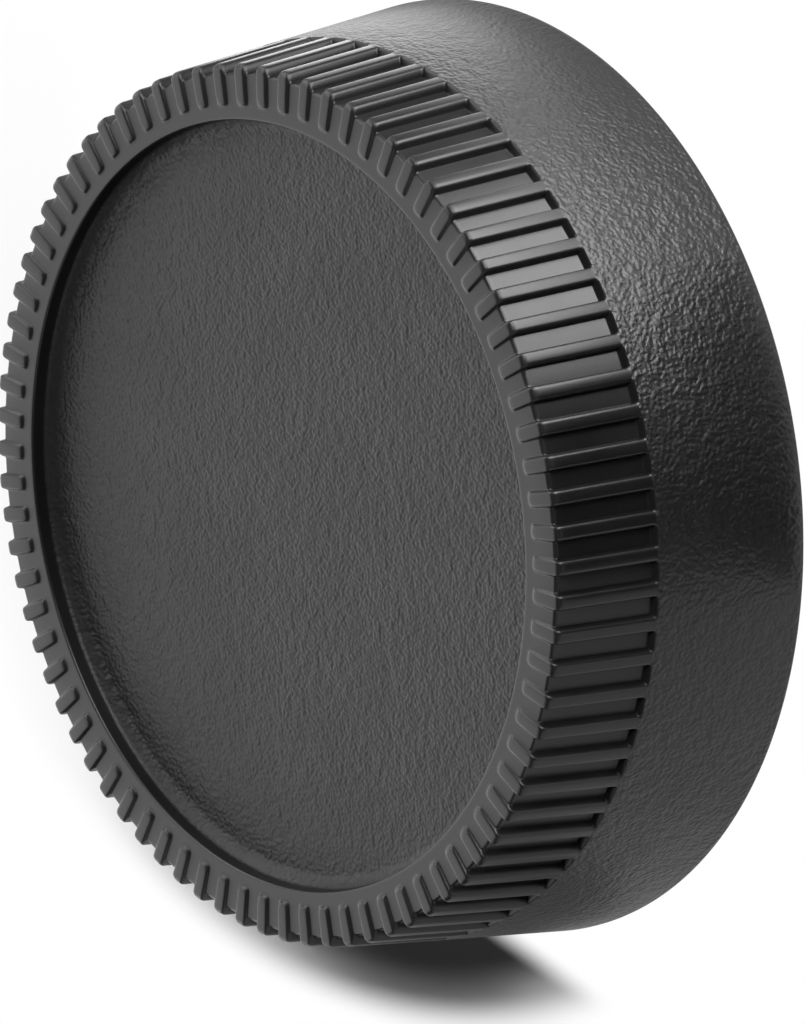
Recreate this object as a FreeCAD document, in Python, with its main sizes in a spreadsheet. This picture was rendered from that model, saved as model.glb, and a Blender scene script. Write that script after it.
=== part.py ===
import FreeCAD, Part
import os
import Sketcher

# Rear lens cap, one moulding in black plastic, lying on its open rim with the closed face up.
# Axis +Z, origin at the middle of the mouth, millimetres.

doc = FreeCAD.newDocument("lens_cap")

# Driving dimensions
dimensions = doc.addObject("Spreadsheet::Sheet", "Dimensions")
DRIVING = [
    ("mouth_radius", 31.0, "outside of the rim that the cap rests on"),
    ("front_radius", 29.0, "outside at the closed face, before the corner is rounded"),
    ("cap_height", 19.0, "rim to the tops of the ribs on the face"),
    ("front_round", 0.7, "round on the front corner of each rib, made as two flats"),
    ("rim_edge", 0.25, "edge break on the outside of the rim"),
    ("band_rear", 11.35, "height of the rear ends of the grip grooves"),
    ("rib_count", 80, "ribs round the grip band"),
    ("groove_angle", 2.45, "angle that one groove takes up"),
    ("groove_depth", 0.62, "groove floor below the rib tops on the side"),
    ("groove_drop", 0.29, "groove floor and plain ring below the rib tops on the face"),
    ("groove_round", 0.3, "round on the front corner of a groove floor, made as one flat"),
    ("groove_margin", 1.0, "how far the cutter of a groove stands out of the body"),
    ("rib_inner_radius", 26.3, "inner ends of the ribs on the face"),
    ("ring_inner_radius", 25.35, "edge of the recess in the face"),
    ("ring_edge", 0.12, "edge break on the recess"),
    ("recess_wall", 0.95, "plain wall of the recess"),
    ("recess_slope", 0.8, "width and depth of the slope at the foot of the wall"),
    ("panel_thickness", 1.5, "closed panel"),
    ("register_radius", 29.2, "round register inside the rim"),
    ("register_depth", 2.2, "length of the register"),
    ("inner_top_radius", 27.2, "inside of the wall at the panel"),
    ("inner_edge", 1.0, "slope between wall and panel inside"),
    ("lug_count", 3, "bayonet lugs"),
    ("lug_angle", 48.0, "angle that one lug takes up"),
    ("lug_inner_radius", 25.7, "tips of the lugs"),
    ("lug_thickness", 1.5, "lug along the axis"),
    ("lug_root", 0.5, "how far lug and stop are sunk in the wall"),
    ("stop_angle", 3.5, "angle that the stop at one end of a lug takes up"),
    ("stop_inner_radius", 26.7, "inside of the stop"),
    ("stop_height", 2.4, "stop above its lug"),
]

# Sizes that follow from the driving ones
DERIVED = [
    ("flare", "=(mouth_radius - front_radius) / cap_height", "loss of radius for each millimetre of height"),
    ("round_share", "=1 - sqrt(0.5)", "how far the middle of a round stands in from its sharp corner"),
    ("front_side_height", "=cap_height - front_round", "where the front round leaves the side"),
    ("front_side_radius", "=mouth_radius - flare * front_side_height", "the same, from the axis"),
    ("front_mid_height", "=cap_height - front_round * round_share", "middle of the front round"),
    ("front_mid_radius", "=front_radius - front_round * round_share", "the same, from the axis"),
    ("front_face_radius", "=front_radius - front_round", "where the front round meets the face"),
    ("ring_top", "=cap_height - groove_drop", "plain ring and groove floors on the face"),
    ("slope_top", "=ring_top - recess_wall", "foot of the recess wall"),
    ("panel_top", "=slope_top - recess_slope", "outside of the panel"),
    ("panel_under", "=panel_top - panel_thickness", "inside of the panel"),
    ("panel_radius", "=ring_inner_radius - recess_slope", "edge of the flat panel"),
    ("floor_rear_radius", "=mouth_radius - flare * band_rear - groove_depth", "groove floor, rear end"),
    ("floor_side_height", "=ring_top - groove_round", "where the floor's round leaves the side"),
    ("floor_side_radius", "=mouth_radius - flare * floor_side_height - groove_depth", "from the axis"),
    ("floor_face_radius", "=floor_side_radius - groove_round", "where the floor's round meets the face"),
    ("cutter_radius", "=mouth_radius + groove_margin", "outside of the cutter of a groove"),
    ("cutter_top", "=cap_height + groove_margin", "top of the cutter of a groove"),
    ("lug_root_radius", "=register_radius + lug_root", "root of lug and stop, inside the wall"),
    ("lug_top", "=register_depth + lug_thickness", "side of a lug that holds"),
    ("stop_top", "=lug_top + stop_height", "inner end of a stop"),
    ("stop_turn", "=(lug_angle - stop_angle) / 2", "from the middle of a lug to its stop"),
]
for row, (alias, content, meaning) in enumerate(DRIVING + DERIVED, start=1):
    dimensions.set(f"A{row}", alias)
    dimensions.set(f"B{row}", str(content))
    dimensions.set(f"C{row}", meaning)
    dimensions.setAlias(f"B{row}", alias)
doc.recompute()


def size(name):
    """The present value of a cell."""
    return float(getattr(dimensions, name))


# The one moulding
body = doc.addObject("PartDesign::Body", "lens_cap")
body.Label = "lens_cap"
body.Placement = FreeCAD.Placement()
origin = {feature.Role: feature for feature in body.Origin.OriginFeatures}

# How a sketch numbers its origin, its axes and the two ends of a line
ORIGIN = -1
BASE_LINE = -1
AXIS_LINE = -2
START = 1
END = 2

# Two places closer than this are the same
NEAR = 0.01


def new_sketch(name):
    """A sketch on the section plane, with its X along the radius and its Y up the axis."""
    sketch = body.newObject("Sketcher::SketchObject", name)
    sketch.AttachmentSupport = [(origin["XZ_Plane"], "")]
    sketch.MapMode = "FlatFace"
    return sketch


def bind(sketch, cell, kind, *places):
    """A dimension of the sketch that follows a cell of the sheet."""
    number = sketch.addConstraint(Sketcher.Constraint(kind, *places, size(cell)))
    sketch.setExpression(f"Constraints[{number}]", f"Dimensions.{cell}")


def draw_outline(sketch, corners):
    """A closed outline of straight lines. Corners name their cells; None is the axis, or the base."""
    points = []
    for radius, height in corners:
        points.append(FreeCAD.Vector(size(radius) if radius else 0.0, size(height) if height else 0.0, 0.0))
    for here, there in zip(points, points[1:] + points[:1]):
        sketch.addGeometry(Part.LineSegment(here, there))
    for line, (radius, height) in enumerate(corners):
        previous = (line - 1) % len(corners)
        sketch.addConstraint(Sketcher.Constraint("Coincident", previous, END, line, START))
        if radius:
            bind(sketch, radius, "DistanceX", ORIGIN, START, line, START)
        else:
            sketch.addConstraint(Sketcher.Constraint("PointOnObject", line, START, AXIS_LINE))
        if height:
            bind(sketch, height, "DistanceY", ORIGIN, START, line, START)
        else:
            sketch.addConstraint(Sketcher.Constraint("PointOnObject", line, START, BASE_LINE))


def break_edge(name, base, cell, radius, height):
    """A chamfer, of a size from the sheet, on one circle of the feature before it."""
    names = []
    for number, edge in enumerate(base.Shape.Edges, start=1):
        if not isinstance(edge.Curve, Part.Circle):
            continue
        if abs(edge.Curve.Radius - radius) < NEAR and abs(edge.Curve.Center.z - height) < NEAR:
            names.append(f"Edge{number}")
    chamfer = body.newObject("PartDesign::Chamfer", name)
    chamfer.Base = (base, names)
    chamfer.setExpression("Size", f"Dimensions.{cell}")
    doc.recompute()
    return chamfer


def turn(kind, name, profile, cell):
    """A feature that turns a section through an angle from the sheet, half of it to each side."""
    feature = body.newObject(kind, name)
    feature.Profile = profile
    feature.ReferenceAxis = (profile, ["V_Axis"])
    feature.Midplane = True
    feature.setExpression("Angle", f"Dimensions.{cell}")
    doc.recompute()
    return feature


def repeat_round(name, originals, cell):
    """Copies of some features, spread evenly round the axis."""
    pattern = body.newObject("PartDesign::PolarPattern", name)
    pattern.Originals = originals
    pattern.Axis = (origin["Z_Axis"], [""])
    pattern.Angle = 360.0
    pattern.setExpression("Occurrences", f"Dimensions.{cell}")
    body.Tip = pattern
    doc.recompute()
    return pattern


# Shell: the half section of the cup, turned once round the axis
shell_section = new_sketch("ShellSection")
draw_outline(shell_section, [
    ("register_radius", None),
    ("mouth_radius", None),
    ("front_side_radius", "front_side_height"),
    ("front_mid_radius", "front_mid_height"),
    ("front_face_radius", "cap_height"),
    ("rib_inner_radius", "cap_height"),
    ("rib_inner_radius", "ring_top"),
    ("ring_inner_radius", "ring_top"),
    ("ring_inner_radius", "slope_top"),
    ("panel_radius", "panel_top"),
    (None, "panel_top"),
    (None, "panel_under"),
    ("inner_top_radius", "panel_under"),
    ("register_radius", "register_depth"),
])
shell = body.newObject("PartDesign::Revolution", "Shell")
shell.Profile = shell_section
shell.ReferenceAxis = (shell_section, ["V_Axis"])
shell.Angle = 360.0
doc.recompute()

# Broken edges of the shell
rim_edge = break_edge("RimEdge", shell, "rim_edge", size("mouth_radius"), 0.0)
inner_edge = break_edge("InnerEdge", rim_edge, "inner_edge", size("inner_top_radius"), size("panel_under"))
ring_edge = break_edge("RingEdge", inner_edge, "ring_edge", size("ring_inner_radius"), size("ring_top"))

# Bayonet: ledges inside the wall, just past the register, each with a stop behind one end
lug_section = new_sketch("LugSection")
draw_outline(lug_section, [
    ("lug_root_radius", "register_depth"),
    ("lug_inner_radius", "register_depth"),
    ("lug_inner_radius", "lug_top"),
    ("lug_root_radius", "lug_top"),
])
lug = turn("PartDesign::Revolution", "Lug", lug_section, "lug_angle")

stop_section = new_sketch("StopSection")
stop_section.AttachmentOffset = FreeCAD.Placement(
    FreeCAD.Vector(), FreeCAD.Rotation(FreeCAD.Vector(0, 1, 0), size("stop_turn"))
)
stop_section.setExpression("AttachmentOffset.Rotation.Angle", "Dimensions.stop_turn")
draw_outline(stop_section, [
    ("lug_root_radius", "register_depth"),
    ("stop_inner_radius", "register_depth"),
    ("stop_inner_radius", "stop_top"),
    ("lug_root_radius", "stop_top"),
])
stop = turn("PartDesign::Revolution", "Stop", stop_section, "stop_angle")
bayonet = repeat_round("Bayonet", [lug, stop], "lug_count")

# Grip band: each groove follows the flared side, turns over the front corner and runs in along the
# face. It is open at the front and ends blind against the plain skirt.
groove_section = new_sketch("GrooveSection")
draw_outline(groove_section, [
    ("floor_rear_radius", "band_rear"),
    ("floor_side_radius", "floor_side_height"),
    ("floor_face_radius", "ring_top"),
    ("rib_inner_radius", "ring_top"),
    ("rib_inner_radius", "cutter_top"),
    ("cutter_radius", "cutter_top"),
    ("cutter_radius", "band_rear"),
])
groove = turn("PartDesign::Groove", "GripGroove", groove_section, "groove_angle")
grip_band = repeat_round("GripBand", [groove], "rib_count")

# Every feature has to be sound, and the grooves have to cut as much as one groove times their count
one_groove = bayonet.Shape.Volume - groove.Shape.Volume
all_grooves = bayonet.Shape.Volume - grip_band.Shape.Volume
if one_groove <= 0 or abs(all_grooves - one_groove * size("rib_count")) > NEAR:
    raise RuntimeError("the grip grooves did not all cut")
for feature in doc.Objects:
    if "Invalid" in feature.State or "Error" in feature.State:
        raise RuntimeError(f"{feature.Name} failed: {feature.State}")
if body.Shape.isNull() or not body.Shape.isValid() or len(body.Shape.Solids) != 1:
    raise RuntimeError("the cap is not one sound solid")

os.makedirs("parts", exist_ok=True)
body.Shape.exportStep(os.path.join("parts", f"{body.Label}.step"))
print(f"{body.Label}: {body.Shape.Volume / 1000:.2f} cm3, {len(body.Shape.Faces)} faces")
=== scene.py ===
import math

import bmesh
import bpy
from mathutils import Matrix, Vector


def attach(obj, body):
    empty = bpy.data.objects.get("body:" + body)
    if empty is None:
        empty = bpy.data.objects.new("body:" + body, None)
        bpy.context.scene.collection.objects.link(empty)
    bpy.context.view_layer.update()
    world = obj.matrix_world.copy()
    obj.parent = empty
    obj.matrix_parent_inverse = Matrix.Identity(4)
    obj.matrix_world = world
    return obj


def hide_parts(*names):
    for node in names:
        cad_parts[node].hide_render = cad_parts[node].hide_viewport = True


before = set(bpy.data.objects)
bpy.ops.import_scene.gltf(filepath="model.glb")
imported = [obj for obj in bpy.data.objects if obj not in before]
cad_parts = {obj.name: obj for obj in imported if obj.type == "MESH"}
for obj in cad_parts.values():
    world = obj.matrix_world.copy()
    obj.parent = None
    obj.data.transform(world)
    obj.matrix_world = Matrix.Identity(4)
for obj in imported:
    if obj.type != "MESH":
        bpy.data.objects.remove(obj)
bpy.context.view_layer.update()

# Outside of the cap
# A flared cup in black plastic, moulded in one shot: a plain skirt at the mouth, a band of grip ribs
# that wraps over the front corner, and a plain ring round the sunk front panel. In millimetres.
MILLIMETRE = 0.001
WHOLE_TURN = 2 * math.pi
AXIS = (0.0, 0.0, 1.0)
MIDDLE = (0.0, 0.0, 0.0)

RIM_RADIUS = 31.0
FRONT_RADIUS = 29.0
CAP_HEIGHT = 19.0
FLARE = (RIM_RADIUS - FRONT_RADIUS) / CAP_HEIGHT
RIB_COUNT = 80
BAND_REAR = 11.35
RIB_FINISH_REAR = BAND_REAR + 0.10
GROOVE_DEPTH = 0.62
RIB_ROUND = 0.50
GROOVE_ROUND = 0.30
ROUND_STEPS = 6
STRAIGHT_END = CAP_HEIGHT - RIB_ROUND - 0.20
RIB_INNER_RADIUS = 26.30
FACE_DROP = 0.22
RING_TOP = CAP_HEIGHT - FACE_DROP
RING_RADIUS = 25.35
SLOPE_TOP = RING_TOP - 0.95
SLOPE_DROP = 0.77
PANEL_TOP = SLOPE_TOP - SLOPE_DROP
SAME_PLACE = 0.002
ON_SURFACE = 0.03

SKIRT, SATIN, PANEL = range(3)


def side_radius(height):
    """Outside of the flared wall at a height."""
    return RIM_RADIUS - FLARE * height


def on_side(height, depth=0.0):
    """Radius and height of a place on the flared wall, or at a depth under it."""
    return side_radius(height) - depth, height


def front_corner(top, radius, depth):
    """The round from the flared side over to the face, for the ribs or for the groove floors."""
    lean = math.atan(FLARE)
    middle_height = top - radius
    middle_radius = side_radius(middle_height) - depth - radius / math.cos(lean)
    places = []
    for step in range(ROUND_STEPS + 1):
        turn = lean + (math.pi / 2 - lean) * step / ROUND_STEPS
        across, up = radius * math.cos(turn), radius * math.sin(turn)
        places.append((middle_radius + across, middle_height + up))
    return places


def plain(places):
    """Rows that run on unchanged under ribs and grooves."""
    return [(place, place, MIDDLE, MIDDLE, MIDDLE, MIDDLE) for place in places]


def ribbed(rib, groove, side=0.0, face=0.0, tip=0.0):
    """A row with a rib's and a groove's place, and how far each section across a rib holds there."""
    return tuple(
        (share * radius, share * height)
        for share in (side, face, tip)
        for radius, height in (rib, groove)
    )


def turn_sector(mesh, rows, columns, count):
    """Turns a chain of rows through one sector, and repeats the sector round the axis.

    Each row lists its alternative places as radius and height; each column has its angle and how
    much of each alternative it takes.
    """
    row_of = mesh.verts.layers.int.get("row") or mesh.verts.layers.int.new("row")
    begun_with = set(mesh.verts)

    def settle(vertex, angle, shares):
        places = rows[vertex[row_of]]
        radius = sum(share * place[0] for share, place in zip(shares, places))
        height = sum(share * place[1] for share, place in zip(shares, places))
        vertex.co = (radius * math.cos(angle), radius * math.sin(angle), height)

    chain = []
    for row in range(len(rows)):
        vertex = mesh.verts.new()
        vertex[row_of] = row
        settle(vertex, *columns[0])
        chain.append(vertex)
    chain += [mesh.edges.new(pair) for pair in zip(chain, chain[1:])]
    for before, (angle, shares) in zip(columns, columns[1:]):
        made = bmesh.ops.spin(
            mesh, geom=chain, cent=MIDDLE, axis=AXIS, angle=angle - before[0], steps=1,
            use_duplicate=False,
        )
        chain = made["geom_last"]
        for vertex in chain:
            if isinstance(vertex, bmesh.types.BMVert):
                settle(vertex, angle, shares)
    sector = [vertex for vertex in mesh.verts if vertex not in begun_with]
    edges = dict.fromkeys(edge for vertex in sector for edge in vertex.link_edges)
    faces = dict.fromkeys(face for edge in edges for face in edge.link_faces)
    bmesh.ops.spin(
        mesh, geom=sector + list(edges) + list(faces), cent=MIDDLE, axis=AXIS,
        angle=WHOLE_TURN * (count - 1) / count, steps=count - 1, use_duplicate=True,
    )
    whole = [vertex for vertex in mesh.verts if vertex not in begun_with]
    bmesh.ops.remove_doubles(mesh, verts=whole, dist=SAME_PLACE)
    return [vertex for vertex in mesh.verts if vertex not in begun_with]


def end_loop(vertices, row, row_of):
    """The edges of one row, once round."""
    loop = [vertex for vertex in vertices if vertex[row_of] == row]
    on_loop = set(loop)
    edges = dict.fromkeys(edge for vertex in loop for edge in vertex.link_edges)
    return [edge for edge in edges if on_loop.issuperset(edge.verts)]


# The rounded outer edge of the rim, and the skirt up to the ribs
rim_edge = [(30.62, 0.0), (30.75, 0.0), (30.85, 0.03), (30.92, 0.11), (30.948, 0.25)]
skirt_heights = [0.45, BAND_REAR - 0.40, BAND_REAR - 0.17]
skirt_rows = plain(rim_edge + [on_side(height) for height in skirt_heights])

# The blind rear end of a groove: how far past the start of the band, and how deep
groove_end = [
    (-0.07, 0.01), (-0.03, 0.06), (0.01, 0.17), (0.08, 0.42), (0.13, 0.56), (0.165, 0.605),
    (0.23, GROOVE_DEPTH), (STRAIGHT_END - BAND_REAR, GROOVE_DEPTH),
]
groove_rows = [
    ribbed(on_side(BAND_REAR + along), on_side(BAND_REAR + along, depth), side=1.0)
    for along, depth in groove_end
]
rib_corner = front_corner(CAP_HEIGHT, RIB_ROUND, 0.0)
groove_corner = front_corner(RING_TOP, GROOVE_ROUND, GROOVE_DEPTH)
corner_rows = [
    ribbed(rib, groove, side=1.0 - step / ROUND_STEPS, face=step / ROUND_STEPS)
    for step, (rib, groove) in enumerate(zip(rib_corner, groove_corner))
]

# The rounded inner end of a rib: how far out from it, what share of the rib's height is gone, and
# how far the rib has narrowed
rib_end = [
    (0.55, 0.0, 0.0), (0.32, 0.02, 0.12), (0.20, 0.07, 0.32), (0.11, 0.17, 0.55),
    (0.05, 0.35, 0.75), (0.0, 0.59, 0.9), (-0.05, 0.83, 1.0), (-0.13, 1.0, 1.0),
]
rib_end_rows = [
    ribbed(
        (RIB_INNER_RADIUS + out, CAP_HEIGHT - FACE_DROP * gone),
        (RIB_INNER_RADIUS + out, RING_TOP),
        face=1.0 - narrowed, tip=narrowed,
    )
    for out, gone, narrowed in rib_end
]

# The rounded edge of the recess and its wall, then the slope at the foot of the wall
ring_edge = [
    (0.65, 0.0), (0.30, 0.0), (0.13, 0.0), (0.07, 0.015), (0.02, 0.06), (0.0, 0.14), (0.0, 0.27),
]
slope = [
    (0.0, -0.05), (0.006, 0.03), (0.022, 0.09), (0.10, 0.215), (0.16, 0.275), (0.52, 0.585),
    (0.60, 0.645), (0.68, 0.695), (0.77, 0.735), (0.88, 0.758), (1.02, SLOPE_DROP),
    (1.30, SLOPE_DROP),
]
ring_rows = plain([(RING_RADIUS + out, RING_TOP - down) for out, down in ring_edge])
recess_rows = plain([(RING_RADIUS - inward, SLOPE_TOP - down) for inward, down in slope])
outside_rows = skirt_rows + groove_rows + corner_rows + rib_end_rows + ring_rows + recess_rows
skirt_end = len(skirt_rows)
recess_start = len(outside_rows) - len(recess_rows)

# Half a rib across: share of the pitch from its middle, and share of its height on the side, on the
# face and at the tip
rib_half = [
    (0.000, 1.00, 1.00, 1.00), (0.090, 0.992, 1.00, 0.90), (0.130, 0.968, 0.99, 0.68),
    (0.162, 0.915, 0.965, 0.44), (0.187, 0.825, 0.90, 0.25), (0.208, 0.69, 0.77, 0.13),
    (0.238, 0.25, 0.38, 0.04), (0.251, 0.00, 0.22, 0.02), (0.267, 0.00, 0.09, 0.00),
    (0.290, 0.00, 0.02, 0.00), (0.325, 0.00, 0.00, 0.00), (0.500, 0.00, 0.00, 0.00),
]
one_pitch = [(0.5 - share, *rises) for share, *rises in reversed(rib_half)]
one_pitch += [(0.5 + share, *rises) for share, *rises in rib_half[1:]]
pitch = WHOLE_TURN / RIB_COUNT
outside_columns = [
    (share * pitch, (side, 1 - side, face, 1 - face, tip, 1 - tip))
    for share, side, face, tip in one_pitch
]

mesh = bmesh.new()
outside = turn_sector(mesh, outside_rows, outside_columns, RIB_COUNT)
row_of = mesh.verts.layers.int["row"]
bmesh.ops.edgeloop_fill(mesh, edges=end_loop(outside, len(outside_rows) - 1, row_of))
for face in mesh.faces:
    row = min(vertex[row_of] for vertex in face.verts)
    middle = face.calc_center_median()
    on_surface = abs(math.hypot(middle.x, middle.y) - side_radius(middle.z)) < ON_SURFACE
    if row < skirt_end or (on_surface and middle.z < RIB_FINISH_REAR):
        face.material_index = SKIRT
    elif row >= recess_start:
        face.material_index = PANEL
    else:
        face.material_index = SATIN
rim_outside = end_loop(outside, 0, row_of)

# Inside of the cap
# The same moulding seen from the lens: a short round register at the mouth, three lugs that take the
# lens's bayonet, each with a stop at one end, and a wall that draws in to the panel.
LUG_COUNT = 3
HALF_SECTOR = 180.0 / LUG_COUNT
REGISTER_RADIUS = 29.2
REGISTER_DEPTH = 2.2
PANEL_UNDER = 15.46
INNER_TOP_RADIUS = 27.2
INNER_ROUND = 1.0
DRAW_IN = (REGISTER_RADIUS - INNER_TOP_RADIUS) / (PANEL_UNDER - REGISTER_DEPTH)
LUG_RADIUS = 25.7
LUG_TOP = 3.7
STOP_RADIUS = 26.7
STOP_TOP = 6.1
LUG_END = 24.0
STOP_START = 20.5
END_ROUND = 0.4
EDGE_ROUND = ((0.28, 0.0), (0.14, 0.01), (0.03, 0.08), (0.0, 0.22))
WALL = (1.0, 0.0, 0.0)
LUG = (0.0, 1.0, 0.0)
STOP = (0.0, 0.0, 1.0)


def wall_radius(height):
    """Inside of the wall at a height past the register."""
    return REGISTER_RADIUS - DRAW_IN * max(0.0, height - REGISTER_DEPTH)


def on_wall(height):
    """Radius and height of a place on the inside of the wall."""
    return wall_radius(height), height


def everywhere(places):
    """Rows with no lug or stop."""
    return [(place, place, place) for place in places]


def lug_row(height, lug, stop=None):
    """A row at a height on the wall, with its place on a lug and on a stop."""
    return on_wall(height), lug, stop or lug


def rounded_top(radius, top):
    """The rounded upper edge of a lug or a stop."""
    return [(radius + out, top - down) for out, down in reversed(EDGE_ROUND)]


mouth_rows = everywhere([
    (29.58, 0.0), (29.44, 0.0), (29.31, 0.03), (29.22, 0.11), (REGISTER_RADIUS, 0.25),
    (REGISTER_RADIUS, 0.45), (REGISTER_RADIUS, 1.90),
])
lug_edge = [(LUG_RADIUS + out, REGISTER_DEPTH + up) for out, up in EDGE_ROUND]
lug_edge += rounded_top(LUG_RADIUS, LUG_TOP)
lug_heights = [2.40, 2.55, 2.70, 2.85, 3.00, 3.15, 3.30, 3.45]
stop_heights = [4.80, 5.20, 5.60, 5.90]
lug_rows = [lug_row(REGISTER_DEPTH, (REGISTER_RADIUS - 0.1, REGISTER_DEPTH))]
lug_rows += [lug_row(height, place) for height, place in zip(lug_heights, lug_edge)]
lug_rows += [
    lug_row(3.60, (wall_radius(LUG_TOP) - 0.3, LUG_TOP), (STOP_RADIUS + 0.10, LUG_TOP)),
    lug_row(3.80, (wall_radius(3.8) - 0.1, 3.73), (STOP_RADIUS + 0.03, 3.76)),
    lug_row(4.00, on_wall(3.95), (STOP_RADIUS, 3.90)),
]
lug_rows += [
    lug_row(height, on_wall(height), place)
    for height, place in zip(stop_heights, rounded_top(STOP_RADIUS, STOP_TOP))
]
lug_rows += [
    lug_row(6.15, on_wall(6.15), (wall_radius(STOP_TOP) - 0.2, STOP_TOP)),
    lug_row(6.40, on_wall(6.40), (wall_radius(6.25) - 0.02, 6.25)),
    lug_row(6.60, on_wall(6.60)),
]
corner_height = PANEL_UNDER - INNER_ROUND
corner_middle = wall_radius(corner_height) - INNER_ROUND
inner_corner = []
for step in range(ROUND_STEPS + 1):
    turn = step * math.pi / (2 * ROUND_STEPS)
    across, up = INNER_ROUND * math.cos(turn), INNER_ROUND * math.sin(turn)
    inner_corner.append((corner_middle + across, corner_height + up))
panel_under = [(26.10, PANEL_UNDER), (25.60, PANEL_UNDER)]
panel_rows = everywhere(
    [on_wall(6.8), on_wall(corner_height - 0.2)] + inner_corner + panel_under
)
inside_rows = mouth_rows + lug_rows + panel_rows


def arc(start, end, steps, shares):
    """Evenly spread columns, in degrees from the middle of a lug."""
    return [(start + (end - start) * step / steps, shares) for step in range(steps + 1)]


def rising(start, end, below, above):
    """Columns of a rounded end, from one form up to a higher one."""
    columns = []
    rise = ((0.0, 0.0), (0.35, 0.06), (0.48, 0.30), (0.56, 0.78), (0.70, 0.94), (1.0, 1.0))
    for along, up in rise:
        shares = tuple(low + (high - low) * up for low, high in zip(below, above))
        columns.append((start + (end - start) * along, shares))
    return columns


inside_degrees = arc(-HALF_SECTOR, -LUG_END - 0.9, 14, WALL)
inside_degrees += rising(-LUG_END - END_ROUND, -LUG_END + END_ROUND, WALL, LUG)
inside_degrees += arc(-LUG_END + 1.0, STOP_START - 0.7, 18, LUG)
inside_degrees += rising(STOP_START - END_ROUND, STOP_START + END_ROUND, LUG, STOP)
inside_degrees += arc(STOP_START + 0.7, LUG_END - 0.7, 2, STOP)
inside_degrees += reversed(rising(LUG_END + END_ROUND, LUG_END - END_ROUND, WALL, STOP))
inside_degrees += arc(LUG_END + 0.9, HALF_SECTOR, 14, WALL)
inside_columns = [(math.radians(degrees), shares) for degrees, shares in inside_degrees]

outside_faces = set(mesh.faces)
inside = turn_sector(mesh, inside_rows, inside_columns, LUG_COUNT)
bmesh.ops.edgeloop_fill(mesh, edges=end_loop(inside, len(inside_rows) - 1, row_of))
rim_inside = end_loop(inside, 0, row_of)
bmesh.ops.triangle_fill(
    mesh, edges=rim_outside + rim_inside, use_beauty=True, normal=(0.0, 0.0, -1.0)
)
for face in mesh.faces:
    if face not in outside_faces:
        face.material_index = SATIN
    face.smooth = True
bmesh.ops.recalc_face_normals(mesh, faces=mesh.faces)

# How far each place stands on an outer edge, where handling polishes the plastic a little smoother
# and where a painted edge highlight lightens its colour
FLAT_ENOUGH = math.radians(6.0)
FULL_EDGE = math.radians(24.0)
SHARP_EDGE = math.radians(45.0)
polish_and_edge_highlight = mesh.verts.layers.float.new("polish_and_edge_highlight")
for vertex in mesh.verts:
    sharpest = max(edge.calc_face_angle_signed(0.0) for edge in vertex.link_edges)
    vertex[polish_and_edge_highlight] = min(1.0, max(0.0, (sharpest - FLAT_ENOUGH) / (FULL_EDGE - FLAT_ENOUGH)))
bmesh.ops.scale(mesh, vec=(MILLIMETRE,) * 3, verts=mesh.verts)

shape = bpy.data.meshes.new("lens_cap_moulding")
mesh.to_mesh(shape)
mesh.free()
shape.set_sharp_from_angle(angle=SHARP_EDGE)
cap = bpy.data.objects.new("lens_cap_moulding", shape)
bpy.context.scene.collection.objects.link(cap)


# Finish of the plastic
# The mould is etched with a fine leather grain on the skirt and the front panel, and left smooth and
# satin on the ribs and the ring; the black plastic takes both finishes from it.
class Value:
    """A socket in a material, with arithmetic that adds the nodes for it."""

    def __init__(self, finish, socket):
        self.finish = finish
        self.socket = socket

    def sum_with(self, operation, first, second):
        return self.finish.node("ShaderNodeMath", {"operation": operation}, {0: first, 1: second})

    def __add__(self, other):
        return self.sum_with("ADD", self, other)

    def __radd__(self, other):
        return self.sum_with("ADD", other, self)

    def __sub__(self, other):
        return self.sum_with("SUBTRACT", self, other)

    def __rsub__(self, other):
        return self.sum_with("SUBTRACT", other, self)

    def __mul__(self, other):
        return self.sum_with("MULTIPLY", self, other)

    def __rmul__(self, other):
        return self.sum_with("MULTIPLY", other, self)


class Finish:
    """The nodes of one material."""

    def __init__(self, name, world=None):
        self.owner = world or bpy.data.materials.new(name)
        self.owner.use_nodes = True
        self.tree = self.owner.node_tree
        self.tree.nodes.clear()

    def node(self, kind, settings, sockets, output=0):
        """Adds a node: its settings first, then the values or links of its sockets."""
        made = self.tree.nodes.new(kind)
        for name, setting in settings.items():
            setattr(made, name, setting)
        for name, value in sockets.items():
            if isinstance(value, Value):
                self.tree.links.new(value.socket, made.inputs[name])
            else:
                made.inputs[name].default_value = value
        return Value(self, made.outputs[output]) if made.outputs else None

    def noise(self, place, size, detail):
        """Soft random spots of a size in metres."""
        return self.node(
            "ShaderNodeTexNoise", {}, {"Vector": place, "Scale": 1.0 / size, "Detail": detail}
        )

    def step(self, value, start, end, low=0.0, high=1.0):
        """A smooth change from low to high while a value goes from start to end."""
        return self.node(
            "ShaderNodeMapRange", {"interpolation_type": "SMOOTHSTEP"},
            {"Value": value, "From Min": start, "From Max": end, "To Min": low, "To Max": high},
        )

    def blotches(self, place, size):
        """Rounded spots of a size in metres, with flat tops and hollows."""
        return self.step(self.noise(place, size, 0.6), 0.22, 0.78)

    def between(self, share, dark, light):
        """A grey between two levels."""
        return self.node(
            "ShaderNodeMix", {"data_type": "RGBA"},
            {"Factor": share, "A": (dark, dark, dark, 1.0), "B": (light, light, light, 1.0)}, 2,
        )


BLACK = 0.0035
GRAIN_LIGHT = 0.008
SATIN_LIGHT = 0.009
FINE_SPOT = 0.00015
MOTTLE_SIZE = 2.6
CALM_WITHIN = 0.0003
CALM_DEPTH = 0.4


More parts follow.
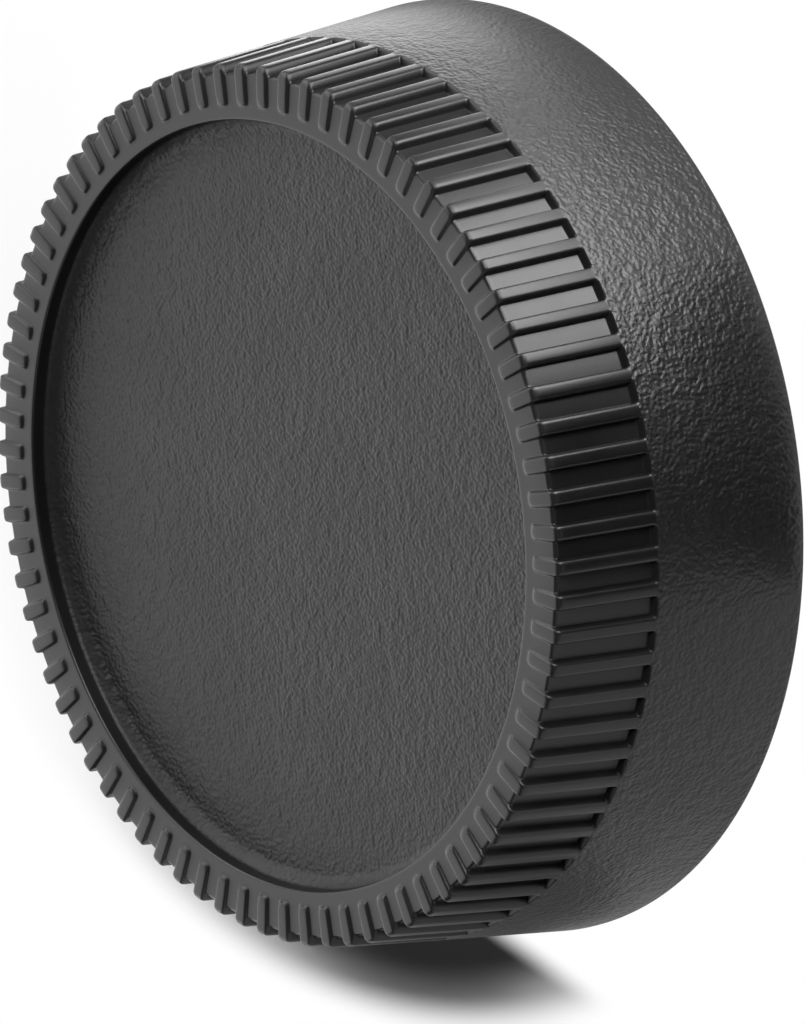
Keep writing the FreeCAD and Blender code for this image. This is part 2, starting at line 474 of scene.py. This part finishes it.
def grained_plastic(name, pebble, depth, calm_above, sheen):
    """Etched grain of a pebble's size and depth, shallower above a height."""
    finish = Finish(name)
    place = finish.node("ShaderNodeTexCoord", {}, {}, "Object")
    height = finish.node("ShaderNodeSeparateXYZ", {}, {"Vector": place}, "Z")
    edge = finish.node("ShaderNodeAttribute", {"attribute_name": "polish_and_edge_highlight"}, {}, "Fac")
    pebbles = finish.blotches(place, pebble)
    mottle = finish.blotches(place, MOTTLE_SIZE * pebble)
    fine = finish.noise(place, FINE_SPOT, 0.5)
    broad = finish.noise(place, 0.006, 3.0)
    calm = finish.step(height, calm_above, calm_above + CALM_WITHIN, 1.0, CALM_DEPTH)
    grain = (pebbles * 0.9 + mottle * 0.9 + fine * 0.1) * calm
    bump = finish.node(
        "ShaderNodeBump", {}, {"Height": grain, "Strength": 1.0, "Distance": depth}, "Normal"
    )
    # Lighter on the grain's tops and in broad random patches; lightened along outer edges as a
    # painted edge highlight
    lightness = pebbles * 0.4 + broad * 0.3 + edge * 0.3
    surface = finish.node(
        "ShaderNodeBsdfPrincipled", {},
        {
            "Base Color": finish.between(lightness, BLACK, GRAIN_LIGHT),
            "Roughness": 0.44 + broad * 0.12 - edge * 0.06,
            "Specular IOR Level": sheen,
            "Normal": bump,
        },
    )
    finish.node("ShaderNodeOutputMaterial", {}, {"Surface": surface})
    return finish.owner


def satin_plastic():
    """The smooth finish of a polished mould, a little smoother along the edges, where a painted edge
    highlight lightens its colour.
    """
    finish = Finish("satin_black_plastic")
    place = finish.node("ShaderNodeTexCoord", {}, {}, "Object")
    edge = finish.node("ShaderNodeAttribute", {"attribute_name": "polish_and_edge_highlight"}, {}, "Fac")
    fine = finish.noise(place, FINE_SPOT, 2.0)
    broad = finish.noise(place, 0.0045, 3.0)
    bump = finish.node(
        "ShaderNodeBump", {}, {"Height": fine, "Strength": 0.2, "Distance": 0.00002}, "Normal"
    )
    # Broad random patches of tone, and a painted edge highlight along the outer edges
    surface = finish.node(
        "ShaderNodeBsdfPrincipled", {},
        {
            "Base Color": finish.between(broad * 0.5 + edge * fine, BLACK, SATIN_LIGHT),
            "Roughness": 0.29 + broad * 0.12 - edge * 0.04,
            "Specular IOR Level": 0.35,
            "Normal": bump,
        },
    )
    finish.node("ShaderNodeOutputMaterial", {}, {"Surface": surface})
    return finish.owner


panel_calm = (PANEL_TOP + 0.02) * MILLIMETRE
skirt_finish = grained_plastic("skirt_grain", 0.00029, 0.000060, CAP_HEIGHT * MILLIMETRE, 0.43)
panel_finish = grained_plastic("panel_grain", 0.00028, 0.000050, panel_calm, 0.36)
satin_finish = satin_plastic()
for finish in (skirt_finish, satin_finish, panel_finish):
    shape.materials.append(finish)
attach(cap, "root")
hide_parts("lens_cap")

# Table and surroundings
# A matt white table top under the cap, lit from above; outside a shaped patch that keeps the cap's
# real shadow it glows pure white as painted light, which also trims the shadow's ends. A dim room
# round it. In metres.
TABLE_HALF = 4.0
TABLE_WHITE = 0.93
ROOM_LIGHT = 0.018
KEY_AZIMUTH = 37.0
SHADOW_END_AZIMUTH = 66.0
SHADOW_MIDDLE = (-0.010, 0.025, 0.0)
WHITE = (1.0, 1.0, 1.0, 1.0)
floor_mesh = bmesh.new()
bmesh.ops.create_grid(floor_mesh, x_segments=1, y_segments=1, size=TABLE_HALF)
floor_shape = bpy.data.meshes.new("table_top")
floor_mesh.to_mesh(floor_shape)
floor_mesh.free()
floor = bpy.data.objects.new("table_top", floor_shape)
bpy.context.scene.collection.objects.link(floor)

table = Finish("white_table")
place = table.node("ShaderNodeTexCoord", {}, {}, "Object")
across = table.node("ShaderNodeSeparateXYZ", {}, {"Vector": place}, "X")
from_cap = table.node("ShaderNodeVectorMath", {"operation": "LENGTH"}, {0: place}, "Value")
from_shadow = table.node(
    "ShaderNodeVectorMath", {"operation": "DISTANCE"}, {0: place, 1: SHADOW_MIDDLE}, "Value"
)


def towards(azimuth):
    """How far a place on the table lies towards an azimuth."""
    turn = math.radians(azimuth)
    direction = (math.cos(turn), math.sin(turn), 0.0)
    return table.node(
        "ShaderNodeVectorMath", {"operation": "DOT_PRODUCT"}, {0: place, 1: direction}, "Value"
    )


# Where the table glows white as painted light over its real shading: on the key's side, past a line
# that trims the shadow's end, and far from the shadow and the cap
key_side = table.step(towards(KEY_AZIMUTH), -0.0185, -0.0125, 0.0, 0.95)
past_end = table.step(towards(SHADOW_END_AZIMUTH), -0.0316, -0.0292)
past_end = past_end * table.step(across, -0.012, -0.006)
far_off = table.step(from_shadow, 0.0607, 0.0638)
far_round = table.step(from_cap, 0.048, 0.060)
camera_ray, glossy_ray, through_ray = (
    table.node("ShaderNodeLightPath", {}, {}, ray)
    for ray in ("Is Camera Ray", "Is Glossy Ray", "Is Transmission Ray")
)
matt = table.node(
    "ShaderNodeBsdfDiffuse", {}, {"Color": (TABLE_WHITE, TABLE_WHITE, TABLE_WHITE, 1.0)}
)
glow = table.node("ShaderNodeEmission", {}, {"Color": WHITE, "Strength": 1.0})
real_shading = (1.0 - key_side) * (1.0 - past_end) * (1.0 - far_off) * (1.0 - far_round)
painted_white = (1.0 - real_shading) * (camera_ray + glossy_ray + through_ray)
table_surface = table.node("ShaderNodeMixShader", {}, {0: painted_white, 1: matt, 2: glow})
table.node("ShaderNodeOutputMaterial", {}, {"Surface": table_surface})
floor_shape.materials.append(table.owner)

world = bpy.data.worlds.new("studio")
bpy.context.scene.world = world
studio = Finish("studio", world)
air = studio.node("ShaderNodeBackground", {}, {"Color": WHITE, "Strength": ROOM_LIGHT})
studio.node("ShaderNodeOutputWorld", {}, {"Surface": air})


# Lamps and cards
# A soft box high on one side throws the short shadow. Panels behind, beside and over the cap only
# give the plastic its sheen, and cards bent up from the table keep its white out of some ribs.
def soft_box(name, azimuth, elevation, distance, target, width, height, watts, sheen_only):
    """A rectangular lamp that looks at its target, for light or for sheen alone."""
    data = bpy.data.lights.new(name, "AREA")
    data.shape = "RECTANGLE"
    data.size = width
    data.size_y = height
    data.energy = watts
    lamp = bpy.data.objects.new(name, data)
    bpy.context.scene.collection.objects.link(lamp)
    turn, lift = math.radians(azimuth), math.radians(elevation)
    level = math.cos(lift)
    toward = Vector((math.cos(turn) * level, math.sin(turn) * level, math.sin(lift)))
    lamp.location = Vector(target) + distance * toward
    lamp.rotation_euler = toward.to_track_quat("Z", "Y").to_euler()
    lamp.visible_camera = False
    lamp.visible_diffuse = not sheen_only
    lamp.visible_glossy = sheen_only


FACE = (0.0, 0.0, 0.018)
PANEL_DISTANCE = 0.60
soft_box("key_box", KEY_AZIMUTH, 50.0, 0.50, (0.0, 0.0, 0.01), 0.19, 0.19, 3.9, False)
# Each panel's azimuth and elevation, width and height, and power
for name, azimuth, elevation, width, height, watts in (
    ("back_panel", 188.0, 36.0, 0.90, 0.80, 4.4),
    ("backdrop_foot", 188.0, 4.0, 1.00, 0.08, 0.5),
    ("window", 122.0, 32.0, 0.28, 0.70, 2.6),
    ("side_panel", 85.0, 13.0, 0.44, 0.30, 0.9),
    ("rib_panel", 50.0, 14.0, 0.30, 0.32, 3.0),
    ("fill_panel", -62.0, 15.0, 0.65, 0.42, 0.8),
    ("front_panel", -8.0, 55.0, 0.50, 0.40, 0.12),
):
    soft_box(name, azimuth, elevation, PANEL_DISTANCE, FACE, width, height, watts, True)
BAND_MIDDLE = (0.0, 0.0, 0.0085)
NEAR_SIDE = (0.001, 0.038, 0.0105)
soft_box("rib_strip", 41.0, 0.0, 0.052, BAND_MIDDLE, 0.032, 0.016, 0.0190, True)
soft_box("near_patch", 0.0, -90.0, 0.010, NEAR_SIDE, 0.054, 0.009, 0.0060, True)

CARD_LIFT = 0.0003
CARD_STEPS = 24


def card(name, near, far, start, end, height, shade):
    """A card on the table with its far edge bent up, which shows only in reflections."""
    card_mesh = bmesh.new()
    turn = math.radians(start)
    chain = [
        card_mesh.verts.new((from_axis * math.cos(turn), from_axis * math.sin(turn), level))
        for from_axis, level in ((near, CARD_LIFT), (far, CARD_LIFT), (far, height))
    ]
    chain += [card_mesh.edges.new(pair) for pair in zip(chain, chain[1:])]
    bmesh.ops.spin(
        card_mesh, geom=chain, cent=MIDDLE, axis=AXIS, angle=math.radians(end - start),
        steps=CARD_STEPS, use_duplicate=False,
    )
    card_shape = bpy.data.meshes.new(name)
    card_mesh.to_mesh(card_shape)
    card_mesh.free()
    piece = bpy.data.objects.new(name, card_shape)
    bpy.context.scene.collection.objects.link(piece)
    paint = Finish(name)
    colour = (shade, shade, shade, 1.0)
    glow = paint.node("ShaderNodeEmission", {}, {"Color": colour, "Strength": 1.0})
    paint.node("ShaderNodeOutputMaterial", {}, {"Surface": glow})
    card_shape.materials.append(paint.owner)
    piece.visible_camera = False
    piece.visible_diffuse = False
    piece.visible_shadow = False


# Each card's near and far edge from the axis, its start and end in degrees, its height and its shade
card("black_card", 0.0315, 0.038, -13.5, 18.5, 0.017, 0.002)
card("low_black_card", 0.0315, 0.038, 18.5, 27.5, 0.006, 0.002)
card("grey_card", 0.046, 0.050, -85.0, -14.5, 0.012, 0.85)
card("low_grey_card", 0.033, 0.046, -150.0, -71.0, 0.004, 0.30)
card("far_card", 0.043, 0.064, 60.0, 92.0, 0.001, 0.25)

# Camera
# A long lens about a metre away, looking down on the face from the side. It is rolled over, so that
# the cap, which lies on its rim, seems to stand on edge.
FRAME_SENSOR = 36.0
LENS_LENGTH = 518.92
NEAREST_SEEN = 0.01
AIM = Vector((1.568, -1.667, 9.45)) * MILLIMETRE
DISTANCE = 963.49 * MILLIMETRE
CAMERA_AZIMUTH = math.radians(7.872)
CAMERA_ELEVATION = math.radians(38.37)
CAMERA_ROLL = math.radians(100.605)
level = math.cos(CAMERA_ELEVATION)
back = Vector((
    math.cos(CAMERA_AZIMUTH) * level, math.sin(CAMERA_AZIMUTH) * level, math.sin(CAMERA_ELEVATION),
))
level_right = Vector(AXIS).cross(back).normalized()
level_up = back.cross(level_right)
up = level_up * math.cos(CAMERA_ROLL) + level_right * math.sin(CAMERA_ROLL)
right = up.cross(back)
camera_data = bpy.data.cameras.new("camera")
camera_data.sensor_width = FRAME_SENSOR
camera_data.lens = LENS_LENGTH
camera_data.clip_start = NEAREST_SEEN
camera = bpy.data.objects.new("camera", camera_data)
turned = Matrix((right, up, back)).transposed().to_4x4()
camera.matrix_world = Matrix.Translation(AIM + back * DISTANCE) @ turned
bpy.context.scene.collection.objects.link(camera)
bpy.context.scene.camera = camera
bpy.context.scene.view_settings.view_transform = "Standard"
